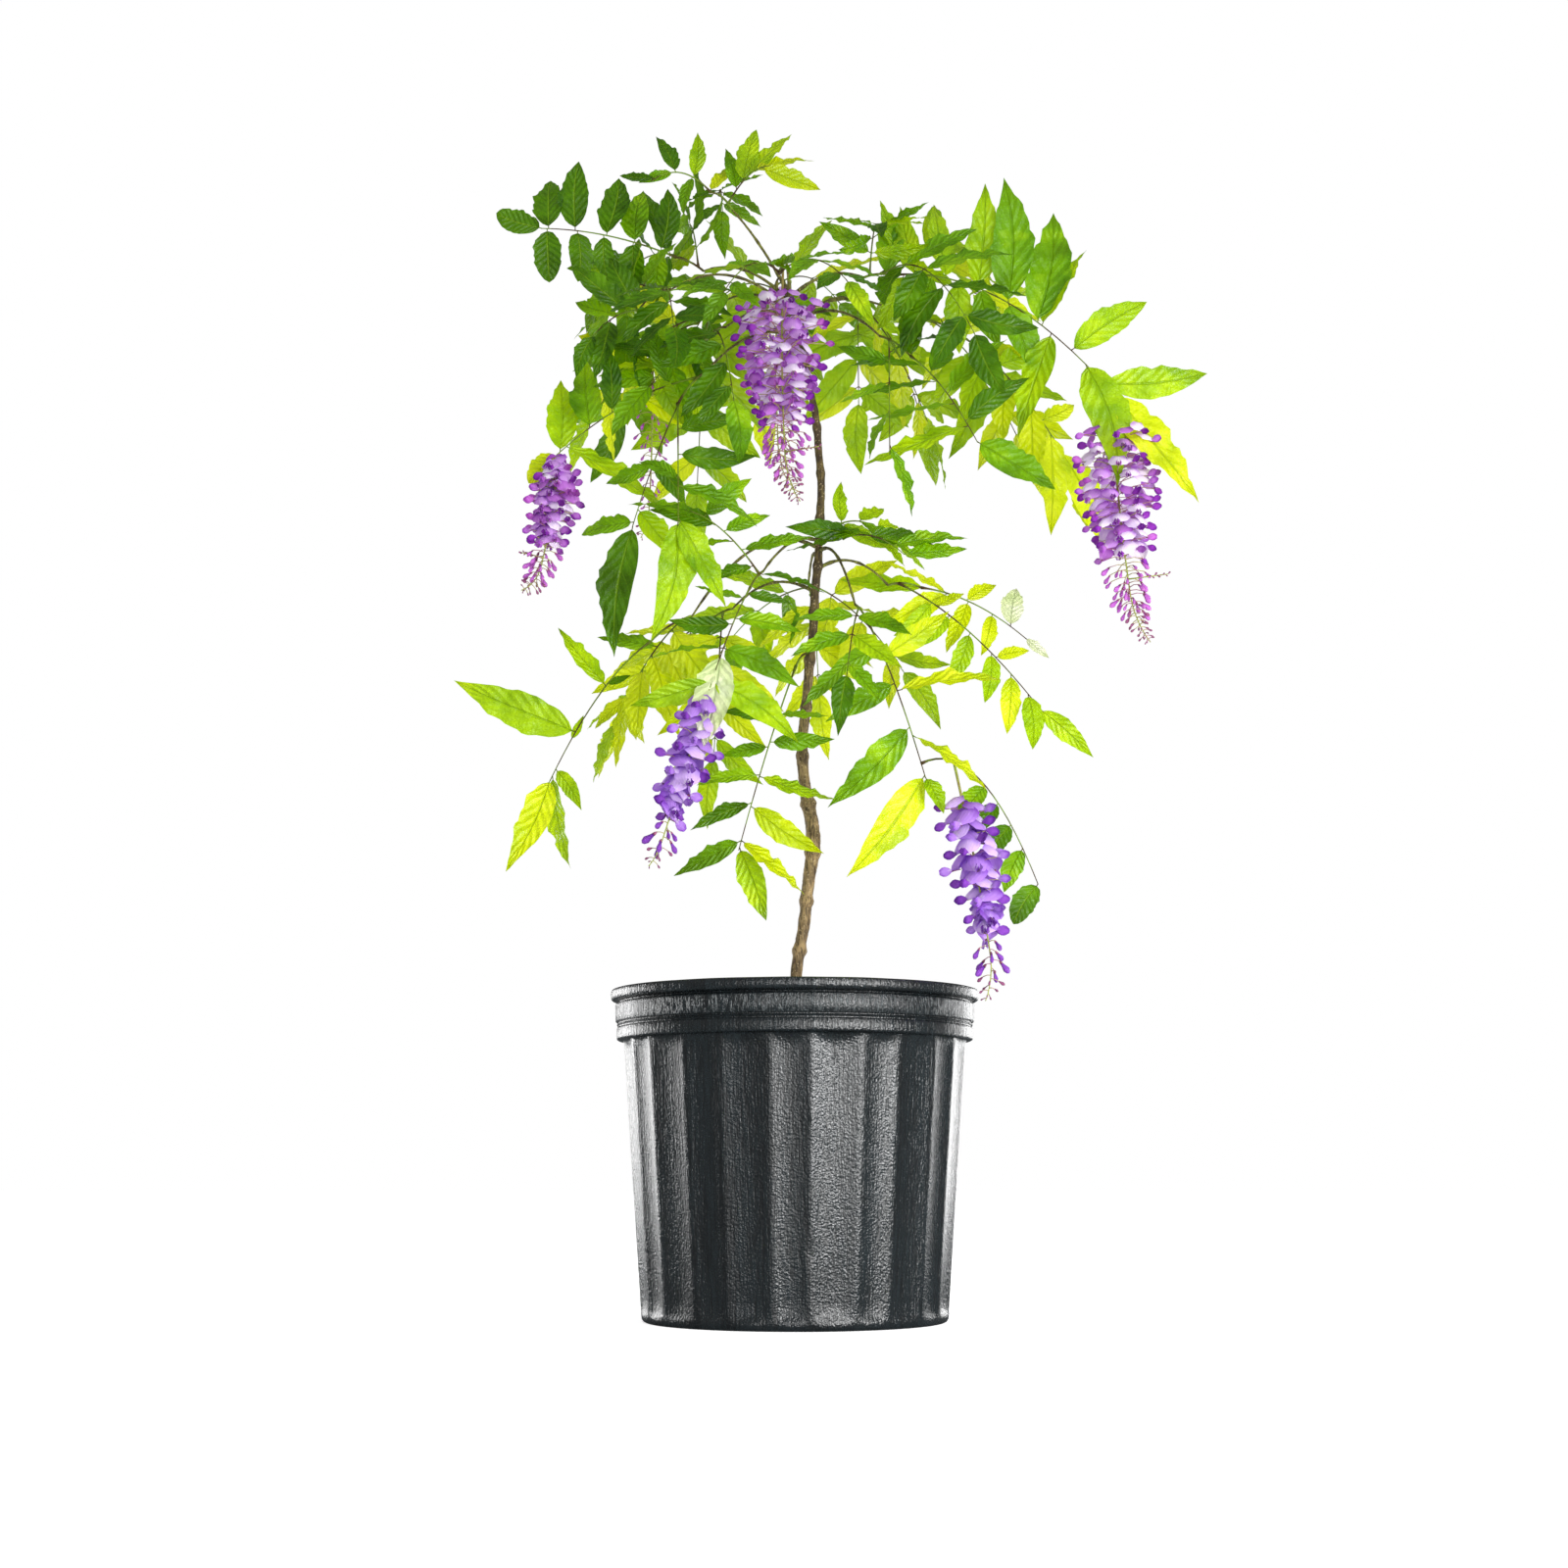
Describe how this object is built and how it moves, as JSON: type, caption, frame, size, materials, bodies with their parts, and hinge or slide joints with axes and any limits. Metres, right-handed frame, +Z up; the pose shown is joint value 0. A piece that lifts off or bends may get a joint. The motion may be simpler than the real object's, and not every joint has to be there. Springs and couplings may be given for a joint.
{
  "type": "potted amethyst falls wisteria",
  "caption": "Young wisteria on a thin winding trunk, with two tiers of arching boughs, pinnate leaves and hanging violet racemes, in a fluted black nursery pot.",
  "frame": {"origin": "centre of the pot's flat underside, which stands on the ground", "axes": "+Z up along the plant, +X to the right and -Y towards the viewer as the picture shows it"},
  "size_m": [0.5729, 0.403, 0.9502],
  "materials": {
    "pot": "satin",
    "compost": "matte",
    "bark": "matte",
    "leaf": "satin",
    "blossom": "matte"
  },
  "bodies": {
    "root": {"bough_back": "bark", "bough_back_left": "bark", "bough_back_right": "bark", "bough_front": "bark", "bough_leader": "bark", "bough_left_arch": "bark", "bough_left_high": "bark", "bough_left_low": "bark", "bough_left_mid": "bark", "bough_low_back": "bark", "bough_low_back_left": "bark", "bough_low_front": "bark", "bough_low_left": "bark", "bough_low_right": "bark", "bough_low_right_back": "bark", "bough_right_back": "bark", "bough_right_high": "bark", "bough_right_low": "bark", "crown_back": "leaf", "crown_back_left": "leaf", "crown_back_right": "leaf", "crown_front": "leaf", "crown_left": "leaf", "crown_left_high": "leaf", "crown_left_low": "leaf", "crown_left_mid": "leaf", "crown_right_back": "leaf", "crown_right_high": "leaf", "crown_right_low": "leaf", "crown_top": "leaf", "low_back": "leaf", "low_back_left": "leaf", "low_centre": "leaf", "low_collar": "leaf", "low_front": "leaf", "low_left": "leaf", "low_right": "leaf", "low_right_back": "leaf", "pot": "pot", "potting_soil": "compost", "raceme_back": "blossom", "raceme_back_left": "blossom", "raceme_centre": "blossom", "raceme_left": "blossom", "raceme_low_left": "blossom", "raceme_low_right": "blossom", "raceme_right": "blossom", "trunk": "bark"}
  },
  "joints": []
}
